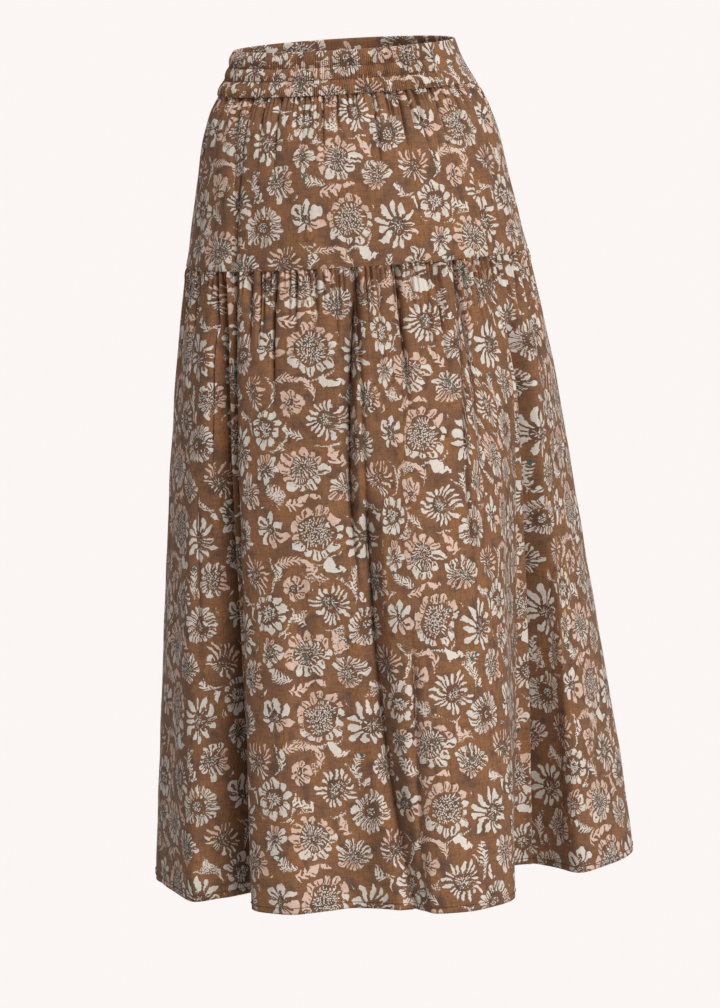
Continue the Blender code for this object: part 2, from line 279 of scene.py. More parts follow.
def nearest_motif(cloth_x, cloth_y, names, table, reach):
    """The place seen from the nearest motif of a table, that motif's values and its distance."""
    best, nearest = None, None
    for row in table:
        numbers = [*row[3:], 0.0, 0.0]
        place = from_nearest_copy(cloth_x, cloth_y, *row[1:3])
        rim = place.length() - row[names.index(reach)]
        found = [place] + [numbers[i : i + 3] for i in range(0, len(row) - 3, 3)]
        if best is None:
            best, nearest = rim, found
            continue
        closer = rim < best
        best = rim.at_most(best)
        nearest = [
            node("Mix", closer, None, None, None, old, new, data_type="VECTOR", out=1)
            for old, new in zip(nearest, found)
        ]
    values = {}
    for i, triple in enumerate(nearest[1:]):
        values.update(zip(names[3 + 3 * i :], triple.split()))
    return nearest[0], values, best


def petal_ring(angle, radius, count, base, tip, fullness, roundness, vary, seed):
    """How far inside a ring of petals a place is, below 0 outside it, and its petal's angle.

    Each petal draws its own length, shorter by up to vary, and its own width.
    """
    place = angle * count
    petal = place.math("FLOOR")
    middle = petal + 0.5
    aside = abs(place - middle) * 2.0
    own = petal.math("FLOORED_MODULO", count) + seed
    chance = node("TexWhiteNoise", None, own, noise_dimensions="1D")
    end = tip - chance * vary
    room = radius * math.pi / count
    fullness = (chance * 7.3).math("FRACT").times_plus(-0.18, 1.04) * fullness
    side = room * (fullness - aside)
    bend = (aside / fullness).math("POWER", 2.0).times_plus(roundness, radius)
    inside = side.at_most(end - bend).at_most(radius - base)
    return inside, middle / count


def within_arc(angle, centre, span):
    """1 where an angle lies within an arc, and 0 elsewhere. Angles are shares of a turn."""
    return abs((angle - centre).wrapped(1.0)) * 2.0 < span


def inked(inside, ragged, softness=0.35):
    """How much ink a place takes: full inside a shape, none outside, ragged along its edge."""
    return (inside + ragged).ramp(1 / softness, 0.5)


def print_flowers(cloth_x, cloth_y, ragged, speck, colour):
    """The flowers over the ground colour, and how far outside the nearest flower a place is."""
    local, f, rim = nearest_motif(cloth_x, cloth_y, FLOWER_COLUMNS, FLOWERS, "radius")
    x, y, _ = local.split()
    distance = local.length()
    angle = y.math("ARCTAN2", x) * (0.5 / math.pi) + f["turn"]
    upward = (angle * (2 * math.pi)).math("SINE")
    low = upward.times_plus(-0.5, 0.5).math("POWER", 2.0)
    radius = distance / ((low * f["lop"] * -1.0 + 1.0) * f["radius"])
    petals, petal_angle = petal_ring(
        angle, radius, f["petals"], f["base"], 1.0,
        f["fullness"], f["roundness"], f["vary"], f["radius"],
    )
    slits, _ = petal_ring(
        angle, radius, f["slits"], f["slit_from"], f["slit_to"], 0.24, 0.05, 0.34, f["petals"]
    )
    ring, _ = petal_ring(
        angle, radius, f["ring_petals"], f["ring_base"], f["ring_tip"], 0.76, 0.16, 0.16, f["petals"]
    )
    petal_ink = inked(petals.at_most(slits * -1.0) * f["radius"], ragged)
    ring_ink = inked(ring * f["radius"], ragged)

    beads = (f["radius"] * (2 * math.pi * BEAD_RING / BEAD_PITCH)).math("ROUND")
    bead = ((angle * beads).math("FRACT") - 0.5) * BEAD_PITCH
    off_ring = (distance / f["radius"] - BEAD_RING) * f["radius"]
    off_bead = node("CombineXYZ", bead, off_ring, 0.0).length()
    bead_ink = inked(BEAD_RADIUS - off_bead, ragged) * within_arc(angle, 0.0, f["bead_span"])

    dark_tone = blend(speck["teal"], blend(speck["plum"], LINE_BROWN, PLUM), TEAL)
    colour = blend(radius.ramp(-1.6, 1.15) * 0.75, colour, dark_tone)
    peach = within_arc(petal_angle, f["peach_at"], f["peach_span"])
    cream_tone = blend(speck["wear"], CREAM, CREAM_WORN)
    peach_tone = blend(speck["wear"], PEACH, PEACH_WORN)
    colour = blend(petal_ink, colour, blend(peach, cream_tone, peach_tone))
    ring_tone = blend(speck["teal"], cream_tone, TEAL)
    colour = blend(ring_ink.at_least(bead_ink), colour, ring_tone)
    core = inked((f["core"] - radius) * f["radius"], 0.0) * speck["dot"]
    core_colour = blend(speck["chance"] > 0.62, CREAM, TEAL)
    core_colour = blend(speck["chance"] > 0.80, core_colour, PEACH)
    return blend(core, colour, core_colour), rim


def print_sprigs(cloth_x, cloth_y, ragged, speck, colour, clear):
    """The sprigs over the ground colour, wherever it is clear of the flowers."""
    local, s, _ = nearest_motif(cloth_x, cloth_y, SPRIG_COLUMNS, SPRIGS, "half_length")
    spin = s["turn"] * (2 * math.pi)
    x, y, _ = node("VectorRotate", local, None, None, spin, rotation_type="Z_AXIS").split()
    x = x - y * y * s["curve"]
    aside = abs(x)
    share = y / s["half_length"]
    leaf = s["leaf"] * (1.0 - share * share).at_least(0.0).math("SQRT")
    climb = (y - aside * s["slant"]) / s["pitch"]
    off = abs(x.math("SIGN").times_plus(0.25, climb).math("FRACT") - 0.5)
    narrowing = (aside / leaf.at_least(0.1)).math("POWER", 3.0) * -0.5
    half = (narrowing + 0.5) * s["thickness"]
    leaf_inside = ((half - off) * s["pitch"]).at_most(leaf - aside)
    foot = y + (s["half_length"] + s["tail"])
    top = s["half_length"] - y
    stem_inside = (STEM_HALF_WIDTH - aside).at_most(foot).at_most(top)
    bud = s["bud"] - node("CombineXYZ", x, top * 0.6, 0.0).length()
    ink = inked(leaf_inside.at_least(stem_inside).at_least(bud), ragged) * clear
    tone = blend(s["peach"], CREAM, PEACH)
    teal = s["teal"] * (share > 0.45) * (speck["wear"] > 0.5)
    return blend(ink, colour, blend(teal, tone, TEAL))


def printed_cotton():
    """Block-printed slub cotton. The print follows the flat cut, so it runs into each gather."""
    material, shader = new_material("block_printed_slub_cotton")
    place = node("UVMap", tree=material.node_tree, uv_map="cloth").vector("SCALE", None, None, 1 / MM)
    drawn = place
    for length, stray in ((SWAY_LENGTH, SWAY), (TREMBLE_LENGTH, TREMBLE)):
        off = noise(place, length, 0.0, out=1).vector("SUBTRACT", (0.5, 0.5, 0.5))
        drawn = off.vector("MULTIPLY_ADD", (stray, stray, 0.0), drawn)
    cloth_x, cloth_y, _ = drawn.split()

    ragged = noise(place, EDGE_LENGTH, 1.0).times_plus(EDGE_RAGGED, -EDGE_BITE)
    dots = node("TexVoronoi", place, None, 1 / SPECKLE_PITCH, voronoi_dimensions="2D")
    wear = noise(place, WEAR_SIZE, 2.0)
    speck = {
        "dot": inked(0.36 - dots, 0.0, softness=0.25),
        "chance": node("SeparateColor", Value(dots.socket.node.outputs["Color"])),
        "wear": wear.ramp(2.0, -0.6),
        "teal": wear.ramp(14.0, -8.8),
        "plum": wear.ramp(-14.0, 5.4),
    }

    lot = noise(place, DYE_LOT_SIZE, 3.0)
    colour = blend(lot.ramp(3.0, -1.0), GROUND_BROWNS[1], GROUND_BROWNS[0])
    for seed, size, brown, from_share, most in DYE_CLOUDS:
        shifted = place.vector("ADD", (seed, 97.0 + seed, 0.0))
        cloud = noise(shifted, size, 3.0).ramp(5.0, -5.0 * from_share)
        colour = blend(cloud * most, colour, brown)
    # The threads of such cotton lie 0.4 mm apart, too fine to show, so their grain and slubs are
    # drawn several threads wide. They darken the dye, and the slubs stand up a little.
    grain = noise(place, GRAIN_SIZE, 1.0).ramp(4.4, -2.2)
    colour = blend(grain * 0.5, colour, GROUND_BROWNS[3])
    slubs = []
    for across, along in SLUBS:
        stretched = place.vector("MULTIPLY", (1 / across, 1 / along, 0.0))
        slubs.append(noise(stretched, 1.0, 1.0))
        colour = blend(slubs[-1].ramp(3.0, -1.55) * 0.6, colour, GROUND_BROWNS[3])

    flowered, rim = print_flowers(cloth_x, cloth_y, ragged, speck, colour)
    clear = rim > 0.6
    berries = speck["dot"] * clear * lot.ramp(30.0, -18.6)
    flowered = blend(berries, flowered, CREAM)
    colour = print_sprigs(cloth_x, cloth_y, ragged, speck, flowered, clear)
    inward = node("Attribute", tree=material.node_tree, attribute_name="wrong_side", out=2)
    feed(shader, {
        "Base Color": blend(inward * 0.6, colour, WRONG_SIDE_BROWN),
        "Roughness": speck["wear"].times_plus(0.14, 0.80),
        "Specular IOR Level": 0.25,
        "Sheen Weight": 0.06,
        "Normal": bumped(slubs[0] + slubs[1], 0.6, SLUB_HEIGHT * MM),
    })
    return material


cotton = printed_cotton()


# ---- The waistband -------------------------------------------------------------------------
# A folded strip of the printed cotton. Round the back it is sewn over wide elastic with two rows
# of stitching, which part it into three puffed channels and draw it into very close gathers.
# Across the front it is flat.

BAND_HEIGHT = 0.045
LEFT_SEAM_DEG = -110.0
RIGHT_SEAM_DEG = 50.0
LEAN_DEG = 3.4
CLOTH_THICKNESS = 0.0005
CHANNEL_EDGES = (0.0, 0.0150, 0.0285, BAND_HEIGHT)
BAND_LAYER_STAND = 0.0010
OUTER_PUFF = 0.0022
INNER_PUFF = 0.0004
BAND_GATHERS = 152
BAND_GATHER_DEPTH = 0.00070
COLUMNS_PER_BAND_GATHER = 5
FRONT_BAND_COLUMNS = 150
BAND_BACK_CUT = 0.50
BAND_FRONT_CUT = 0.385

# The hollow form that the cloth hangs on, one row for each level section.
# back_dip is how much lower the section runs at the middle of the back than at the sides.
SECTION_COLUMNS = ("drop", "half_width", "back_depth", "front_depth", "back_dip")
SECTIONS = (
    (0.000, 0.1175, 0.0850, 0.0900, 0.0040),
    (0.020, 0.1240, 0.0905, 0.0940, 0.0040),
    (0.045, 0.1370, 0.1000, 0.1010, 0.0035),
    (0.060, 0.1455, 0.1075, 0.1060, 0.0030),
    (0.080, 0.1525, 0.1145, 0.1110, 0.0025),
    (0.130, 0.1640, 0.1270, 0.1210, 0.0010),
    (0.200, 0.1770, 0.1370, 0.1300, 0.0000),
    (0.228, 0.1830, 0.1400, 0.1340, 0.0000),
    (0.300, 0.1955, 0.1490, 0.1450, 0.0000),
    (0.400, 0.2090, 0.1610, 0.1590, 0.0005),
    (0.500, 0.2200, 0.1710, 0.1700, 0.0015),
    (0.600, 0.2305, 0.1800, 0.1790, 0.0030),
    (0.700, 0.2410, 0.1890, 0.1880, 0.0045),
    (0.800, 0.2510, 0.1970, 0.1970, 0.0060),
    (0.892, 0.2590, 0.2050, 0.2050, 0.0070),
)


def columns_of(names, table):
    """A table's columns as arrays, by name."""
    return dict(zip(names, (np.array(column) for column in zip(*table))))


def smooth(knots, values, at):
    """A smooth curve through values at rising knots, for each number in at."""
    knots, values, at = np.asarray(knots), np.asarray(values), np.asarray(at)
    steps = np.diff(knots)
    rises = np.diff(values) / steps
    slopes = np.concatenate((rises[:1], rises[:1], rises[1:]))
    slopes[1:-1] = (rises[:-1] * steps[1:] + rises[1:] * steps[:-1]) / (steps[1:] + steps[:-1])
    first = np.clip(np.searchsorted(knots, at, side="right") - 1, 0, len(steps) - 1)
    width = steps[first]
    x = (at - knots[first]) / width
    return (
        values[first] * (1 + 2 * x) * (1 - x) ** 2
        + slopes[first] * width * x * (1 - x) ** 2
        + values[first + 1] * x * x * (3 - 2 * x)
        + slopes[first + 1] * width * x * x * (x - 1)
    )


def section(drop):
    """The hollow form's sizes at each drop below the waist."""
    form = columns_of(SECTION_COLUMNS, SECTIONS)
    drop = np.clip(drop, 0, SECTIONS[-1][0])
    return {name: smooth(form["drop"], form[name], drop) for name in SECTION_COLUMNS[1:]}


def hull(drop, turns):
    """The plain oval at one drop: its point at each turn and the direction that faces out."""
    form = section(drop)
    angles = np.radians(turns)
    depth = np.where(np.cos(angles) >= 0, form["back_depth"], form["front_depth"])
    point = np.stack((form["half_width"] * np.sin(angles), depth * np.cos(angles)), 1)
    out = np.stack((depth * np.sin(angles), form["half_width"] * np.cos(angles)), 1)
    return point, out / np.linalg.norm(out, axis=1)[:, None]


def arc_along(ring):
    """How far round its ring each point is, for a ring that closes."""
    steps = np.linalg.norm(np.diff(ring, axis=0), axis=1)
    return np.concatenate(((0.0,), np.cumsum(steps)))


def hang(ring, drop):
    """A level ring of (across, near) places as points on the skirt as worn, leaning a little."""
    form = section(drop)
    dip = form["back_dip"] * ring[:, 1] / form["back_depth"]
    lean = math.radians(LEAN_DEG)
    x, z = -ring[:, 0], -drop - dip
    points = (x * math.cos(lean) + z * math.sin(lean), ring[:, 1], z * math.cos(lean) - x * math.sin(lean))
    return np.stack(points, 1)


def turn_columns(back_columns, front_columns):
    """Turns of the columns all round, with one on each side seam, back first."""
    back = np.linspace(LEFT_SEAM_DEG, RIGHT_SEAM_DEG, back_columns + 1)
    front = np.linspace(RIGHT_SEAM_DEG, LEFT_SEAM_DEG + 360, front_columns + 1)
    return np.concatenate((back, front[1:]))


def facing(points):
    """The direction that the cloth's outer side faces, at each point of a sheet."""
    along = np.gradient(points, axis=1)
    down = np.gradient(points, axis=0)
    face = np.cross(down, along)
    return face / np.linalg.norm(face, axis=2)[:, :, None]


def bake_place(u, v, low, high):
    """The place of a share (u, v) of a sheet inside a box of the square bake map."""
    return np.stack((low[0] + u * (high[0] - low[0]), low[1] + v * (high[1] - low[1])), 1)


def mesh_of(shape, name):
    """A finished bmesh as a mesh."""
    mesh = bpy.data.meshes.new(name)
    shape.to_mesh(mesh)
    shape.free()
    return mesh


def put(name, data):
    """A new object in the scene."""
    made = bpy.data.objects.new(name, data)
    bpy.context.collection.objects.link(made)
    return made


def make_panel(name, points, cut, replaced):
    """One panel of cloth through a sheet of points, as a thin shell with its cut laid out flat.

    A flat grid is extruded into a slab, and each corner of it goes to its column, row and side.
    The map "cloth" holds the flat cut in metres. In "OFBake" the outer side has the upper part
    of the square, the wrong side the lower part and each raw edge a strip of its own.
    """
    rows, columns = points.shape[0] - 1, points.shape[1] - 1
    shape = bmesh.new()
    bmesh.ops.create_grid(shape, x_segments=columns, y_segments=rows, size=0.5)
    slab = bmesh.ops.extrude_face_region(shape, geom=shape.faces[:])
    outside = [corner for corner in slab["geom"] if isinstance(corner, bmesh.types.BMVert)]
    bmesh.ops.translate(shape, verts=outside, vec=(0, 0, 1))
    bmesh.ops.recalc_face_normals(shape, faces=shape.faces)
    mesh = mesh_of(shape, name)

    corners = np.empty(len(mesh.vertices) * 3, np.float32)
    mesh.vertices.foreach_get("co", corners)
    corners = corners.reshape(-1, 3)
    column = np.rint((corners[:, 0] + 0.5) * columns).astype(int)
    row = np.rint((0.5 - corners[:, 1]) * rows).astype(int)
    side = corners[:, 2]
    out = facing(points)
    placed = points[row, column] + out[row, column] * ((side - 0.5) * CLOTH_THICKNESS)[:, None]
    mesh.vertices.foreach_set("co", placed.astype(np.float32).ravel())
    wrong_side = mesh.attributes.new("wrong_side", "FLOAT", "POINT")
    wrong_side.data.foreach_set("value", (1 - side).astype(np.float32))

    loop_corner = np.empty(len(mesh.loops), np.int32)
    mesh.loops.foreach_get("vertex_index", loop_corner)
    flat_map = mesh.uv_layers.new(name="cloth")
    flat_map.uv.foreach_set("vector", cut[row, column][loop_corner].astype(np.float32).ravel())

    along = column[loop_corner] / columns
    lengths = cut[:, :, 1].mean(axis=1)
    upward = 1 - ((lengths - lengths[0]) / (lengths[-1] - lengths[0]))[row[loop_corner]]
    loop_side = side[loop_corner]
    faces = loop_side.reshape(-1, 4)
    outer, inner = np.repeat(faces.min(1) > 0.5, 4), np.repeat(faces.max(1) < 0.5, 4)
    rim = ~(outer | inner)
    face_row, face_column = row[loop_corner].reshape(-1, 4), column[loop_corner].reshape(-1, 4)
    top_foot_left_right = (
        (face_row.max(1) == 0, along, loop_side, (0.004, 0.992), (0.996, 0.998)),
        (face_row.min(1) == rows, along, loop_side, (0.004, 0.002), (0.996, 0.008)),
        (face_column.max(1) == 0, loop_side, upward, (0.0005, 0.02), (0.0025, 0.98)),
        (face_column.min(1) == columns, loop_side, upward, (0.9975, 0.02), (0.9995, 0.98)),
    )
    bake = np.zeros((len(loop_corner), 2))
    bake[outer] = bake_place(along, upward, (0.004, 0.290), (0.996, 0.988))[outer]
    bake[inner] = bake_place(1 - along, upward, (0.004, 0.012), (0.996, 0.284))[inner]
    for edge_faces, u, v, low, high in top_foot_left_right:
        chosen = np.repeat(edge_faces, 4) & rim
        bake[chosen] = bake_place(u, v, low, high)[chosen]
    bake_map = mesh.uv_layers.new(name="OFBake")
    bake_map.uv.foreach_set("vector", bake.astype(np.float32).ravel())

    mesh.shade_smooth()
    mesh.set_sharp_from_angle(angle=math.radians(75))
    mesh.materials.append(cotton)
    panel = put(name, mesh)
    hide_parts(replaced)
    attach(panel, "root")
    return panel


def band_profile():
    """The band's cross-section as rows of (drop, share outside): up the inside, over, down."""
    drops = []
    for top, bottom in zip(CHANNEL_EDGES, CHANNEL_EDGES[1:]):
        drops += list(np.linspace(top, bottom, 9)[:-1])
    drops = np.array(drops + [BAND_HEIGHT])
    inner = [(drop, -1.0) for drop in drops[::-2]]
    fold = [(-0.0007, -0.7), (-0.0010, 0.0), (-0.0007, 0.7)]
    outer = [(drop, 1.0) for drop in drops]
    return inner + fold + outer


def band_points(turns):
    """Both layers of the waistband all round, a row of points for each row of its profile."""
    share = (turns - LEFT_SEAM_DEG) / (RIGHT_SEAM_DEG - LEFT_SEAM_DEG)
    elastic = np.clip(BAND_GATHERS / 4 * np.minimum(share, 1 - share), 0, 1)
    rows = []
    for drop, outside in band_profile():
        level = max(drop, 0.0)
        point, out = hull(level, turns)
        channel = max(i for i, edge in enumerate(CHANNEL_EDGES[:-1]) if level >= edge)
        top, bottom = CHANNEL_EDGES[channel : channel + 2]
        swell = math.sin(math.pi * (level - top) / (bottom - top))
        wander = 1.3 * np.sin(2 * math.pi * 9 * share + 70 * level)
        wander += 0.9 * np.sin(2 * math.pi * 23 * share - 130 * level)
        wave = np.cos(2 * math.pi * BAND_GATHERS * share + wander)
        uneven = 1 + 0.35 * np.sin(2 * math.pi * 17 * share + 2 * channel + 40 * level)
        puff = (OUTER_PUFF if outside > 0 else INNER_PUFF) * swell
        stand = outside * (BAND_LAYER_STAND + elastic * puff)
        stand = stand + elastic * BAND_GATHER_DEPTH * uneven * wave
        ring = hang(point + out * stand[:, None], level)
        ring[:, 2] -= drop - level
        rows.append(ring)
    return np.array(rows)


def strip_cut(points, width, start):
    """The flat cut of a straight strip: equal columns across width, rows by their own length."""
    rows, columns = points.shape[:2]
    steps = np.linalg.norm(np.diff(points, axis=0), axis=2).mean(axis=1)
    lengths = np.concatenate(((0.0,), np.cumsum(steps)))
    across = np.linspace(0, width, columns)
    cut = np.empty((rows, columns, 2))
    cut[:, :, 0] = start[0] + across[None, :]
    cut[:, :, 1] = start[1] - lengths[:, None]
    return cut


band_columns = BAND_GATHERS * COLUMNS_PER_BAND_GATHER
band_turns = turn_columns(band_columns, FRONT_BAND_COLUMNS)
band = band_points(band_turns)
back_band = band[:, : band_columns + 1]
front_band = band[:, band_columns:]
back_band_cut = strip_cut(back_band, BAND_BACK_CUT, (0.21, 0.47))
front_band_cut = strip_cut(front_band, BAND_FRONT_CUT, (0.05, 0.83))
for panel_name, points, cut, width in (
    ("waistband_back_cloth", back_band, back_band_cut, BAND_BACK_CUT),
    ("waistband_front_cloth", front_band, front_band_cut, BAND_FRONT_CUT),
):
    panel = make_panel(panel_name, points, cut, panel_name.removesuffix("_cloth"))
    float(cut[0, 0, 1] - cut[-1, 0, 1])


# ---- The upper tier ------------------------------------------------------------------------
# Two panels of the printed cotton, gathered into the waistband and hanging close over the hips.
# Their raw edges are turned in and up behind the seams.

TIER_DROP = 0.228
SEAM_ALLOWANCE = 0.009
UPPER_CUT = 1.06
UPPER_COLUMNS = (420, 500)

# Gathers sewn into a seam, one row for each: a trough at its turn, depth deep, half_deg wide each
# way, that fades out over reach. pinch is the share of it that is a sharp nip. The hidden front
# repeats them, turned round, a little further apart and shifted unevenly.
GATHER_COLUMNS = ("turn", "depth", "half_deg", "reach", "pinch")
FRONT_GATHER_SPREAD = 1.04
FRONT_GATHER_SHIFT_DEG = 2.0
NIP_DEG = 0.55
UPPER_GATHERS = (
    (-82.0, 0.0030, 3.2, 0.050, 0.5),
    (-67.6, 0.0046, 3.0, 0.070, 0.6),
    (-60.0, 0.0032, 2.8, 0.050, 0.5),
    (-53.5, 0.0041, 2.6, 0.045, 0.6),
    (-46.5, 0.0076, 3.4, 0.260, 0.5),
    (-38.0, 0.0038, 2.8, 0.060, 0.6),
    (-30.3, 0.0054, 2.8, 0.090, 0.7),
    (-21.9, 0.0046, 2.4, 0.045, 0.7),
    (-16.2, 0.0046, 2.4, 0.040, 0.7),
    (-10.4, 0.0051, 2.4, 0.080, 0.7),
    (-4.6, 0.0041, 2.4, 0.045, 0.7),
    (4.0, 0.0035, 2.6, 0.040, 0.6),
    (11.2, 0.0057, 2.6, 0.100, 0.7),
    (17.0, 0.0041, 2.4, 0.055, 0.7),
    (22.6, 0.0051, 2.4, 0.075, 0.7),
    (30.9, 0.0049, 2.8, 0.070, 0.7),
    (40.2, 0.0057, 2.8, 0.090, 0.7),
    (58.0, 0.0035, 3.2, 0.050, 0.5),
    (70.0, 0.0038, 3.4, 0.060, 0.5),
    (81.0, 0.0027, 3.2, 0.045, 0.5),
)

# Long creases, one row for each. Each runs from the drop top to the drop foot through three turns.
CREASE_COLUMNS = ("top_turn", "middle_turn", "foot_turn", "top", "foot", "depth", "half_deg", "pinch")
UPPER_CREASES = (
    (-58.0, -49.0, -46.3, 0.010, 0.300, 0.0062, 4.6, 0.30),
    (-39.0, -38.4, -37.0, 0.010, 0.115, 0.0034, 2.6, 0.60),
    (-20.0, -19.3, -18.0, 0.010, 0.125, 0.0030, 3.4, 0.30),
    (12.0, 8.6, 7.2, 0.010, 0.150, 0.0036, 3.2, 0.45),
    (40.5, 36.8, 35.0, 0.010, 0.140, 0.0036, 3.0, 0.50),
    (66.0, 64.0, 63.0, 0.030, 0.190, 0.0034, 4.2, 0.30),
    (-84.0, -80.0, -79.0, 0.020, 0.170, 0.0034, 4.4, 0.30),
)


def all_round(names, table):
    """The back's gathers or creases, and the same ones turned round to the front, set unevenly."""
    back = columns_of(names, table)
    front = dict(back)
    for name in names:
        if name.endswith("turn"):
            shift = FRONT_GATHER_SHIFT_DEG * np.sin(back[names[0]])
            front[name] = 180 - FRONT_GATHER_SPREAD * back[name] + shift
    return {name: np.concatenate((back[name], front[name])) for name in names}


def fine_gathers(count, depth, half_deg, reach, seed):
    """Many small uneven gathers all round a seam, in the same columns as the large ones."""
    draw = np.random.default_rng(seed)
    pitch = 360 / count
    size = draw.uniform(0.45, 1.25, count)
    return {
        "turn": np.arange(count) * pitch + draw.uniform(-0.32, 0.32, count) * pitch,
        "depth": depth * size,
        "half_deg": half_deg * draw.uniform(0.75, 1.15, count),
        "reach": reach * draw.uniform(0.4, 1.0, count) * size,
        "pinch": draw.uniform(0.35, 0.85, count),
    }


def trough_and_nip(turns, centre, half_deg):
    """A soft trough and a sharp nip, each 1 deep at its centre, at each turn."""
    off = np.abs((turns - centre + 180) % 360 - 180)
    trough = np.cos(0.5 * math.pi * np.minimum(off / half_deg, 1)) ** 2
    return trough, np.exp(-((off / NIP_DEG) ** 2))


def gathered(gathers, turns, below_seam, taut):
    """How far the cloth stands in at each turn, and how much of it is tucked away there.

    Right at the stitches the gathers are drawn flat, and they open to their depth over taut.
    """
    relief = np.zeros(len(turns))
    tucked = np.zeros(len(turns))
    for i in range(len(gathers["turn"])):
        fade = 1 - below_seam / gathers["reach"][i]
        if fade <= 0:
            continue
        fade = min(fade, 1.0)
        fade *= 2 - fade
        trough, nip = trough_and_nip(turns, gathers["turn"][i], gathers["half_deg"][i])
        pinch = gathers["pinch"][i]
        relief += gathers["depth"][i] * fade * ((1 - pinch) * trough + 1.5 * pinch * nip)
        tucked += pinch * fade * nip
    return relief * (0.45 + 0.55 * min(1.0, abs(below_seam) / taut)), tucked


def creased(creases, turns, drop):
    """How far long creases set the cloth in at each turn of one drop, and how much they tuck away.

    A crease sinks in over its first 50 mm, runs through its three turns and dies out at its foot.
    """
    relief = np.zeros(len(turns))
    tucked = np.zeros(len(turns))
    for i in range(len(creases["top"])):
        top, foot, pinch = (creases[name][i] for name in ("top", "foot", "pinch"))
        share = (drop - top) / (foot - top)
        if not 0 < share < 1:
            continue
        knots = [creases[name][i] for name in ("top_turn", "middle_turn", "foot_turn")]
        weights = ((1 - share) * (1 - 2 * share), 4 * share * (1 - share), share * (2 * share - 1))
        centre = float(np.dot(knots, weights))
        fade = min(1.0, (drop - top) / 0.05) * (1 - share**2)
        trough, nip = trough_and_nip(turns, centre, creases["half_deg"][i])
        relief += creases["depth"][i] * fade * ((1 - pinch) * trough + 1.2 * pinch * nip)
        tucked += pinch * fade * nip
    return relief, tucked


def limpness(turns, drop):
    """The slight unevenness of worn cotton, outwards, at each turn of one drop."""
    angle = np.radians(turns)
    broad = np.sin(19 * angle + 2.3 * np.sin(5 * angle) + 17 * drop)
    across = np.sin(36 * angle - 29 * drop + 2 * np.sin(7 * angle))
    level = np.sin(74 * drop + 5 * angle + 1.7 * np.sin(11 * angle))
    return 0.00060 * broad + 0.00042 * across + 0.00028 * level


def seam_groove(turns):
    """How far the two side seams draw the cloth in."""
    groove = np.zeros(len(turns))
    for seam in (LEFT_SEAM_DEG, RIGHT_SEAM_DEG):
        off = np.abs((turns - seam + 180) % 360 - 180)
        groove += 0.0009 * np.exp(-((off / 0.55) ** 2))
    return groove


def gathered_cut(arcs, tucks, anchors, shares, width, lengths, start):
    """The flat cut of a gathered panel: where each of its points was before it was gathered.

    Between two anchor columns the cloth's width stays what the cut gives it. What is more than
    the row has room for is tucked into the gathers, and runs through the print quickly there.
    """
    rows, columns = arcs.shape
    cut = np.empty((rows, columns, 2))
    for first, last in zip(anchors, anchors[1:]):
        steps = np.diff(arcs[:, first : last + 1], axis=1)
        tuck = 0.5 * (tucks[:, first:last] + tucks[:, first + 1 : last + 1])
        room = steps.sum(axis=1)
        full = width * (shares[last] - shares[first])
        mean = (tuck * steps).sum(axis=1) / room
        gain = np.minimum(np.maximum(full / room - 1, 0) / np.maximum(mean, 1e-3), 9.0)
        weight = steps * (1 + gain[:, None] * tuck)
        run = np.concatenate((np.zeros((rows, 1)), np.cumsum(weight, axis=1)), axis=1)
        cut[:, first : last + 1, 0] = width * shares[first] + full * run / run[:, -1:]
    cut[:, :, 0] += start[0]
    cut[:, :, 1] = start[1] - lengths[:, None]
    return cut


def anchor_columns(turns, gathers):
    """Columns midway between the large gathers of a panel, with its two edges."""
    inner = np.sort(gathers["turn"] % 360)
    inner = np.concatenate((inner - 360, inner, inner + 360))
    inner = inner[(inner > turns[0] + 3) & (inner < turns[-1] - 3)]
    middles = 0.5 * (inner[:-1] + inner[1:])
    columns = np.searchsorted(turns, middles)
    return np.unique(np.concatenate(((0,), columns, (len(turns) - 1,))))


def row_drops(first, last, spans):
    """Drops of level rows from first to last: spans are (up to this far below first, step)."""
    drops = [first]
    for reach, step in spans:
        stop = min(first + reach, last)
        count = max(1, round((stop - drops[-1]) / step))
        drops += list(np.linspace(drops[-1], stop, count + 1)[1:])
    return np.array(drops)


def turned_up(turn_in, seam_drop, turns, tucked, ripple, waves):
    """Rings of the edge that is turned in and up behind a seam. Each row is (rise, inward)."""
    wave = ripple * np.sin(np.radians(turns) * waves)
    rings = []
    for rise, inward in turn_in:
        point, out = hull(seam_drop + rise, turns)
        rings.append((seam_drop + rise, point + out * (inward + wave)[:, None], tucked))
    return rings


def make_tier(rings, turns, gathers, open_row, tier_cut, panels):
    """A tier's panels from its rings, each a (drop, ring, tucked), from the top down.

    The panels share the whole cut's width by how far round each runs at the open row.
    """
    points = np.array([hang(ring, drop) for drop, ring, _ in rings])
    levels = np.array([ring for _, ring, _ in rings])
    tucks = np.array([tucked for _, _, tucked in rings])
    steps = np.linalg.norm(np.diff(points, axis=0), axis=2).mean(axis=1)
    lengths = np.concatenate(((0.0,), np.cumsum(steps)))
    whole = arc_along(levels[open_row])[-1]
    for name, part, start in panels:
        arcs = np.array([arc_along(ring) for ring in levels[:, part]])
        width = tier_cut * arcs[open_row, -1] / whole
        shares = arcs[open_row] / arcs[open_row, -1]
        anchors = anchor_columns(turns[part], gathers)
        cut = gathered_cut(arcs, tucks[:, part], anchors, shares, width, lengths, start)
        panel = make_panel(name, points[:, part], cut, name.removesuffix("_cloth"))


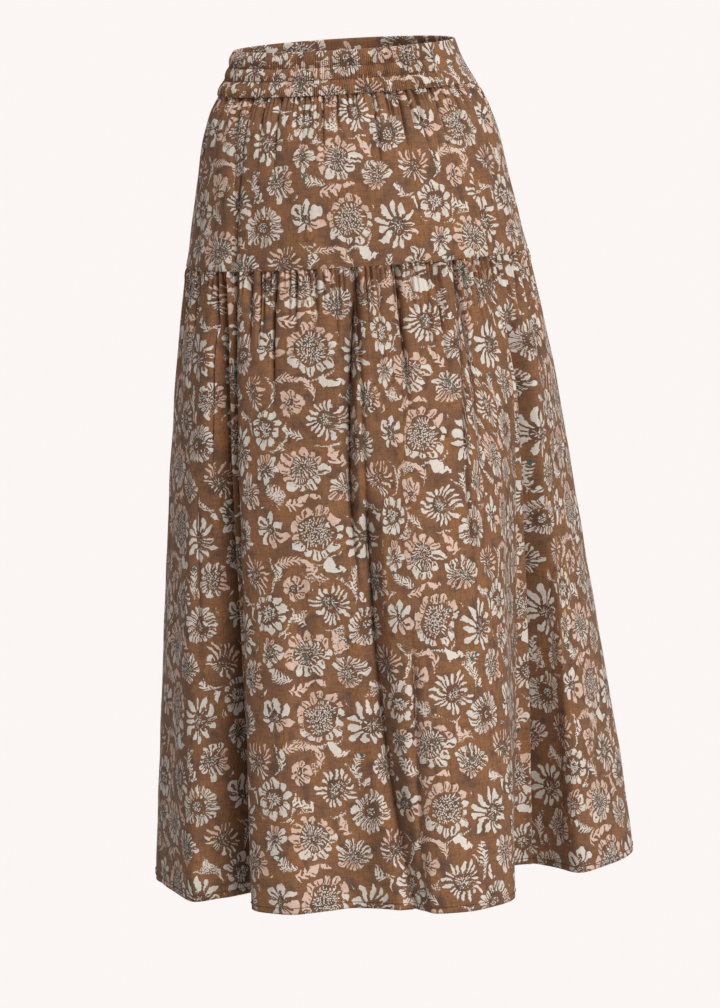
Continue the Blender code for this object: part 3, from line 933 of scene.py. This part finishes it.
UPPER_TOP_IN = ((-0.0075, -0.0006), (-0.0030, -0.0006), (-0.0008, -0.0005))
UPPER_FOOT_IN = ((0.0000, -0.0012), (-0.0006, -0.0019), (-0.0040, -0.0020), (-SEAM_ALLOWANCE, -0.0020))
UPPER_ROWS = ((0.012, 0.0015), (0.060, 0.0030), (0.176, 0.0060), (0.183, 0.0012))
UPPER_SEAM_DIP = 0.0009
UPPER_FINE = fine_gathers(170, 0.0032, 1.00, 0.050, 5)
upper_turns = turn_columns(*UPPER_COLUMNS)
upper_gathers = all_round(GATHER_COLUMNS, UPPER_GATHERS)
upper_creases = all_round(CREASE_COLUMNS, UPPER_CREASES)


def upper_ring(drop):
    """The upper tier all round at one drop, which way is out, and how much cloth is tucked away."""
    point, out = hull(drop, upper_turns)
    below = drop - BAND_HEIGHT
    above = TIER_DROP - drop
    relief, tucked = gathered(upper_gathers, upper_turns, below, 0.004)
    fine, fine_tucked = gathered(UPPER_FINE, upper_turns, below, 0.003)
    crease, crease_tucked = creased(upper_creases, upper_turns, drop)
    loose = limpness(upper_turns, drop) * min(1.0, abs(below) / 0.05) * min(1.0, above / 0.04)
    angle = np.radians(upper_turns)
    ripple = 0.0007 * math.exp(-((above / 0.010) ** 2)) * np.sin(58 * angle + 2 * np.sin(9 * angle))
    dip = UPPER_SEAM_DIP * math.exp(-((above / 0.0022) ** 2))
    stand = 0.0004 - relief - fine - crease - seam_groove(upper_turns) - dip + ripple + loose
    return point + out * stand[:, None], out, tucked + 0.5 * fine_tucked + crease_tucked


upper_first = BAND_HEIGHT + 0.0003
upper_drops = row_drops(upper_first, TIER_DROP, UPPER_ROWS)
upper_rings = turned_up(UPPER_TOP_IN, BAND_HEIGHT, upper_turns, upper_ring(upper_first)[2], 0.00035, 83)
for drop in upper_drops:
    ring, _, tucked = upper_ring(drop)
    upper_rings.append((drop, ring, tucked))
for rise, inward in UPPER_FOOT_IN:
    ring, out, tucked = upper_ring(TIER_DROP + rise)
    upper_rings.append((TIER_DROP + rise, ring + out * inward, tucked))
upper_panels = (
    ("upper_tier_back_cloth", slice(0, UPPER_COLUMNS[0] + 1), (0.03, 0.37)),
    ("upper_tier_front_cloth", slice(UPPER_COLUMNS[0], None), (0.71, 0.18)),
)
make_tier(upper_rings, upper_turns, upper_gathers, len(upper_drops), UPPER_CUT, upper_panels)


# ---- The lower tier ------------------------------------------------------------------------
# Two fuller panels of the printed cotton, closely gathered into the upper tier. They hang in
# deep folds at the sides of the back and end in a narrow turned hem.

HEM_DROP = 0.892
HEM_TURN_UP = 0.008
LOWER_CUT = 1.94
LOWER_COLUMNS = (490, 490)
FOLD_GROWTH = 1.15

# The large folds, one row for each crest and each valley line. Each leaves the tier seam at its
# turn, opens below the drop named starts, and meets the hem at (across, near).
FOLD_COLUMNS = ("name", "turn", "across", "near", "starts")
FOLDS = (
    ("left side", -90, -0.257, -0.005, 0.300),
    ("left shoulder", -77, -0.243, 0.040, 0.300),
    ("left bulge", -64, -0.212, 0.116, 0.260),
    ("left hollow", -54, -0.180, 0.104, 0.260),
    ("left valley", -46, -0.141, 0.096, 0.235),
    ("panel left edge", -40, -0.150, 0.168, 0.240),
    ("panel left crest", -30, -0.118, 0.200, 0.300),
    ("panel hollow", -6, -0.038, 0.190, 0.350),
    ("panel right crest", 16, 0.058, 0.240, 0.350),
    ("panel shoulder", 31, 0.103, 0.220, 0.350),
    ("panel right edge", 40, 0.126, 0.186, 0.360),
    ("right return", 45, 0.121, 0.108, 0.360),
    ("right valley", 51, 0.132, 0.030, 0.360),
    ("right valley foot", 61, 0.166, 0.036, 0.340),
    ("right bulge", 72, 0.199, 0.084, 0.320),
    ("right shoulder", 82, 0.236, 0.048, 0.300),
    ("right side", 91, 0.262, -0.010, 0.300),
    ("front right crest", 106, 0.240, -0.080, 0.280),
    ("front right valley", 120, 0.186, -0.088, 0.270),
    ("front right lobe", 134, 0.176, -0.166, 0.300),
    ("front right hollow", 150, 0.112, -0.176, 0.320),
    ("front middle right", 163, 0.078, -0.214, 0.330),
    ("front middle valley", 176, 0.014, -0.174, 0.300),
    ("front middle left", 190, -0.040, -0.216, 0.330),
    ("front left hollow", 204, -0.100, -0.180, 0.320),
    ("front left lobe", 219, -0.166, -0.178, 0.300),
    ("front left valley", 233, -0.184, -0.110, 0.270),
    ("front left crest", 248, -0.244, -0.088, 0.280),
)

# Gathers and creases like the upper tier's. The two deepest creases are the valleys that split
# the back into its side bulges and its middle panel.
LOWER_GATHERS = (
    (-79.0, 0.0044, 3.8, 0.110, 0.5),
    (-67.0, 0.0052, 3.6, 0.110, 0.6),
    (-54.5, 0.0074, 3.2, 0.230, 0.7),
    (-45.5, 0.0130, 3.8, 0.520, 0.5),
    (-37.5, 0.0056, 3.0, 0.090, 0.7),
    (-28.5, 0.0072, 3.2, 0.150, 0.7),
    (-20.6, 0.0052, 2.8, 0.075, 0.7),
    (-13.8, 0.0060, 2.8, 0.070, 0.7),
    (-7.4, 0.0048, 2.6, 0.090, 0.7),
    (-0.8, 0.0084, 3.0, 0.300, 0.6),
    (6.2, 0.0042, 2.6, 0.070, 0.7),
    (13.0, 0.0070, 3.0, 0.180, 0.7),
    (19.6, 0.0044, 2.6, 0.070, 0.7),
    (26.4, 0.0074, 3.0, 0.130, 0.7),
    (34.4, 0.0072, 3.4, 0.240, 0.6),
    (47.0, 0.0052, 3.6, 0.080, 0.6),
    (58.5, 0.0044, 3.8, 0.080, 0.6),
    (70.0, 0.0070, 4.0, 0.140, 0.6),
    (81.5, 0.0044, 3.8, 0.090, 0.5),
)
LOWER_FINE = fine_gathers(158, 0.0050, 1.10, 0.085, 11)
LOWER_CREASES = (
    (-68.7, -67.8, -67.0, 0.178, 0.320, 0.0044, 2.6, 0.6),
    (-56.7, -53.2, -53.0, 0.178, 0.430, 0.0064, 2.8, 0.7),
    (-38.6, -38.0, -37.0, 0.178, 0.330, 0.0044, 2.6, 0.6),
    (-29.1, -28.5, -28.2, 0.178, 0.380, 0.0060, 2.8, 0.7),
    (-16.6, -15.8, -15.0, 0.178, 0.330, 0.0050, 2.6, 0.6),
    (-0.6, -5.4, -0.6, 0.236, 0.640, 0.0290, 3.2, 0.35),
    (-0.5, 4.6, 22.0, 0.460, 1.160, 0.0260, 4.4, 0.3),
    (11.6, 12.6, 8.8, 0.178, 0.470, 0.0066, 2.8, 0.7),
    (9.8, 9.4, 8.4, 0.600, 0.920, 0.0090, 2.6, 0.4),
    (25.0, 22.6, 20.4, 0.178, 0.370, 0.0060, 2.6, 0.7),
    (36.8, 30.4, 31.5, 0.178, 0.640, 0.0080, 3.0, 0.6),
    (48.0, 46.4, 45.0, 0.178, 0.330, 0.0050, 2.8, 0.6),
    (68.0, 62.0, 56.6, 0.178, 0.420, 0.0066, 3.4, 0.6),
    (-21.0, -21.4, -22.6, 0.520, 0.860, 0.0050, 6.0, 0.1),
    (22.0, 24.0, 25.6, 0.560, 0.880, 0.0046, 5.0, 0.15),
    (-62.0, -62.6, -63.4, 0.440, 0.820, 0.0044, 4.0, 0.2),
    (73.0, 71.6, 70.8, 0.430, 0.800, 0.0044, 3.6, 0.2),
    (56.0, 60.5, 61.5, 0.280, 1.200, 0.0300, 6.0, 0.0),
    (9.6, 10.0, 10.4, 0.780, 1.300, 0.0032, 2.0, 0.4),
    (-50.8, -50.2, -50.5, 0.236, 1.300, 0.0320, 3.4, 0.3),
    (-51.4, -51.0, -50.8, 0.178, 0.520, 0.0120, 2.2, 0.8),
)


def closed_smooth(knots, values, period, gain, at):
    """A smooth curve through values at rising knots. It closes after period, up by gain."""
    laps = (-1, 0, 1, 2)
    knots = np.concatenate([knots + period * lap for lap in laps])
    values = np.concatenate([values + gain * lap for lap in laps])
    return smooth(knots, values, at)


def fold_walk(folds):
    """How far round the lower tier each fold line is, from 0 to 1.

    It is halfway between its share of the tier seam and its share of the hem, so that the
    columns are close both where the cloth is gathered and where it runs into deep valleys.
    """
    across = np.append(folds["across"], folds["across"][0])
    near = np.append(folds["near"], folds["near"][0])
    steps = np.hypot(np.diff(across), np.diff(near))
    walked = np.concatenate(((0.0,), np.cumsum(steps)[:-1])) / steps.sum()
    turned = (folds["turn"] - folds["turn"][0]) / 360
    return 0.5 * turned + 0.5 * walked


folds = columns_of(FOLD_COLUMNS, FOLDS)
walk = fold_walk(folds)
many_places = np.linspace(-0.5, 1.5, 20001)
many_turns = closed_smooth(walk, folds["turn"].astype(float), 1, 360, many_places)
left_place, right_place = np.interp((LEFT_SEAM_DEG, RIGHT_SEAM_DEG), many_turns, many_places)
lower_places = np.concatenate(
    (
        np.linspace(left_place, right_place, LOWER_COLUMNS[0] + 1),
        np.linspace(right_place, left_place + 1, LOWER_COLUMNS[1] + 1)[1:],
    )
)
lower_turns = closed_smooth(walk, folds["turn"].astype(float), 1, 360, lower_places)
lower_gathers = all_round(GATHER_COLUMNS, LOWER_GATHERS)
lower_creases = all_round(CREASE_COLUMNS, LOWER_CREASES)


def lower_ring(drop):
    """The lower tier all round at one drop, and how much cloth is tucked away."""
    open_share = np.clip((drop - folds["starts"]) / (HEM_DROP - folds["starts"]), 0, 1)
    plain, _ = hull(HEM_DROP, folds["turn"])
    grown = open_share**FOLD_GROWTH
    across = closed_smooth(walk, (folds["across"] - plain[:, 0]) * grown, 1, 0, lower_places)
    near = closed_smooth(walk, (folds["near"] - plain[:, 1]) * grown, 1, 0, lower_places)
    point, out = hull(drop, lower_turns)
    below = drop - TIER_DROP
    relief, tucked = gathered(lower_gathers, lower_turns, below, 0.005)
    fine, fine_tucked = gathered(LOWER_FINE, lower_turns, below, 0.004)
    crease, crease_tucked = creased(lower_creases, lower_turns, drop)
    loose = limpness(lower_turns, drop) * min(1.0, below / 0.05)
    heading = 0.0012 * math.exp(-((below - 0.006) / 0.006) ** 2)
    stand = 0.0004 + heading - relief - fine - crease - seam_groove(lower_turns) + loose
    ring = point + out * stand[:, None] + np.stack((across, near), 1)
    return ring, tucked + 0.5 * fine_tucked + crease_tucked


def outwards(ring):
    """The level direction that faces out, at each point of a closed ring."""
    along = np.roll(ring[:-1], -1, 0) - np.roll(ring[:-1], 1, 0)
    along = np.vstack((along, along[:1]))
    along /= np.linalg.norm(along, axis=1)[:, None]
    return np.stack((-along[:, 1], along[:, 0]), 1)


LOWER_TOP_IN = (
    (-0.0090, -0.0033), (-0.0040, -0.0033), (0.0002, -0.0031), (0.0009, -0.0020), (0.0006, -0.0008)
)
HEM_IN = ((0.0004, -0.0006), (0.0000, -0.0012), (-0.0012, -0.0014), (-HEM_TURN_UP, -0.0013))
LOWER_ROWS = ((0.012, 0.0016), (0.040, 0.0032), (0.100, 0.0058), (0.650, 0.0100), (0.6634, 0.0022))
lower_first = TIER_DROP + 0.0006
lower_drops = row_drops(lower_first, HEM_DROP, LOWER_ROWS)
lower_rings = turned_up(LOWER_TOP_IN, TIER_DROP, lower_turns, lower_ring(lower_first)[1], 0.0004, 97)
for drop in lower_drops:
    lower_rings.append((drop, *lower_ring(drop)))
hem_row = len(lower_rings) - 1
for rise, inward in HEM_IN:
    ring, tucked = lower_ring(min(HEM_DROP + rise, HEM_DROP))
    lower_rings.append((HEM_DROP + rise, ring + outwards(ring) * inward, tucked))
lower_panels = (
    ("lower_tier_back_cloth", slice(0, LOWER_COLUMNS[0] + 1), (0.02, 0.80)),
    ("lower_tier_front_cloth", slice(LOWER_COLUMNS[0], None), (1.13, 0.71)),
)
make_tier(lower_rings, lower_turns, lower_gathers, hem_row, LOWER_CUT, lower_panels)


# ---- The stitching -------------------------------------------------------------------------
# Brown cotton sewing thread, locked in even stitches: two rows round the elasticated back of the
# waistband, and one that holds the turned hem all round.

THREAD_BROWN, THREAD_WORN = "4d3426", "6b4b36"
BAND_STITCH = 0.0026
HEM_STITCH = 0.0036
HEM_STITCH_RISE = 0.0062
THREAD_RADIUS = 0.0003
THREAD_SIDES = 5
COLUMNS_PER_STITCH = 4


def sewing_thread():
    """Spun brown cotton thread: matt, with dye that takes unevenly along it."""
    material, shader = new_material("spun_cotton_thread")
    place = node("TexCoord", tree=material.node_tree, out=3)
    dye = node("TexNoise", place, None, 1 / (7 * MM), 1.0)
    plies = node("TexNoise", place, None, 1 / (0.5 * MM), 0.0)
    feed(shader, {
        "Base Color": blend(dye, THREAD_BROWN, THREAD_WORN),
        "Roughness": 0.75,
        "Specular IOR Level": 0.3,
        "Normal": bumped(plies, 0.5, 0.1 * MM),
    })
    return material


thread = sewing_thread()


def sew(shape, path, faces, stitch):
    """Add a thread that lies on the cloth along a path and dips into it after each stitch."""
    walked = arc_along(path)
    columns = round(walked[-1] / stitch) * COLUMNS_PER_STITCH
    at = np.linspace(0, walked[-1], columns + 1)
    lines = [np.stack([np.interp(at, walked, line[:, i]) for i in range(3)], 1) for line in (path, faces)]
    place, face = lines
    face /= np.linalg.norm(face, axis=1)[:, None]
    dip = np.cos(2 * math.pi * np.arange(columns + 1) / COLUMNS_PER_STITCH)
    place -= face * (dip * THREAD_RADIUS * 1.5)[:, None]
    side = np.cross(face, np.gradient(place, axis=0))
    side /= np.linalg.norm(side, axis=1)[:, None]
    made = bmesh.ops.create_grid(shape, x_segments=columns, y_segments=THREAD_SIDES, size=0.5)
    for corner in made["verts"]:
        column = round((corner.co.x + 0.5) * columns)
        angle = 2 * math.pi * (corner.co.y + 0.5)
        off = side[column] * math.cos(angle) + face[column] * math.sin(angle)
        corner.co = place[column] + off * THREAD_RADIUS
    bmesh.ops.remove_doubles(shape, verts=made["verts"], dist=1e-6)


def sewn(name, rows, stitch):
    """Rows of stitches as one mesh. Each row is a path of points and the ways they face."""
    shape = bmesh.new()
    for path, faces in rows:
        sew(shape, path, faces, stitch)
    bmesh.ops.holes_fill(shape, edges=shape.edges[:], sides=THREAD_SIDES)
    bmesh.ops.recalc_face_normals(shape, faces=shape.faces)
    mesh = mesh_of(shape, name)
    mesh.shade_smooth()
    mesh.materials.append(thread)
    stitches = put(name, mesh)
    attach(stitches, "root")


def raised(ring, out, stand, drop):
    """A ring raised off the cloth as points on the worn skirt, and the ways they face."""
    path = hang(ring + out * stand, drop)
    return path, path - hang(ring, drop)


stitch_turns = np.linspace(LEFT_SEAM_DEG + 1, RIGHT_SEAM_DEG - 1, 400)
band_stitching = []
for edge in CHANNEL_EDGES[1:3]:
    point, out = hull(edge, stitch_turns)
    band_stitching.append(raised(point, out, BAND_LAYER_STAND + BAND_GATHER_DEPTH + 0.0003, edge))
sewn("waistband_stitching", band_stitching, BAND_STITCH)
stitch_drop = HEM_DROP - HEM_STITCH_RISE
hem_ring, _ = lower_ring(stitch_drop)
sewn("hem_stitching", [raised(hem_ring, outwards(hem_ring), 0.0005, stitch_drop)], HEM_STITCH)


# ---- The studio ----------------------------------------------------------------------------
# A plain pale paper floor that runs on past the picture into a pale room, wide soft light from
# the right of the camera, weaker light from the far side, and the camera behind the skirt.

PAPER = "fbf6f4"
FLOOR_GREY = "e1dcda"
FLOOR_DROP = 2.40
FLOOR_HALF_SIZE = 400.0
ROOM_LIGHT = "aaaaaa"
LAMP_WIDTH_DEG = 34.0
LAMPS = (
    ("wide_soft_key", (-0.50, 0.85, 0.80), 2.85),
    ("wide_soft_fill", (0.05, -0.85, 0.75), 1.50),
)
CAMERA_PLACE = (-0.01674, 5.46465, 0.12906)
CAMERA_TARGET = (-0.01674, 0.0, -0.49356)
LENS_MM = 181.88
SENSOR_MM = 36

# Dull paper, with no gloss to catch the lamps. It throws no light of its own back on the cloth.
floor_paper, floor_shader = new_material("matt_paper_floor")
feed(floor_shader, {"Base Color": linear(FLOOR_GREY), "Roughness": 0.95, "Specular IOR Level": 0.0})
floor_shape = bmesh.new()
bmesh.ops.create_grid(floor_shape, x_segments=1, y_segments=1, size=FLOOR_HALF_SIZE)
bmesh.ops.translate(floor_shape, verts=floor_shape.verts[:], vec=(0, 0, -FLOOR_DROP))
floor_mesh = mesh_of(floor_shape, "floor")
floor_mesh.materials.append(floor_paper)
floor = put("floor", floor_mesh)
floor.visible_diffuse = False

# The room lights the skirt less than its walls look to the camera, as in a lit white studio.
world = bpy.data.worlds.new("even_room_light")
world.use_nodes = True
seen = node("LightPath", tree=world.node_tree)
feed(world.node_tree.nodes["Background"], {"Color": blend(seen, ROOM_LIGHT, PAPER)})
bpy.context.scene.world = world
bpy.context.scene.view_settings.view_transform = "Standard"

for name, toward, strength in LAMPS:
    lamp = bpy.data.lights.new(name, "SUN")
    lamp.energy = strength
    lamp.angle = math.radians(LAMP_WIDTH_DEG)
    put(name, lamp).rotation_euler = Vector(toward).to_track_quat("Z", "Y").to_euler()

camera_data = bpy.data.cameras.new("photo_view")
camera_data.sensor_fit = "VERTICAL"
camera_data.sensor_height = SENSOR_MM
camera_data.lens = LENS_MM
camera = put("photo_view", camera_data)
camera.location = CAMERA_PLACE
looking = Vector(CAMERA_TARGET) - Vector(CAMERA_PLACE)
camera.rotation_euler = looking.to_track_quat("-Z", "Y").to_euler()
bpy.context.scene.camera = camera
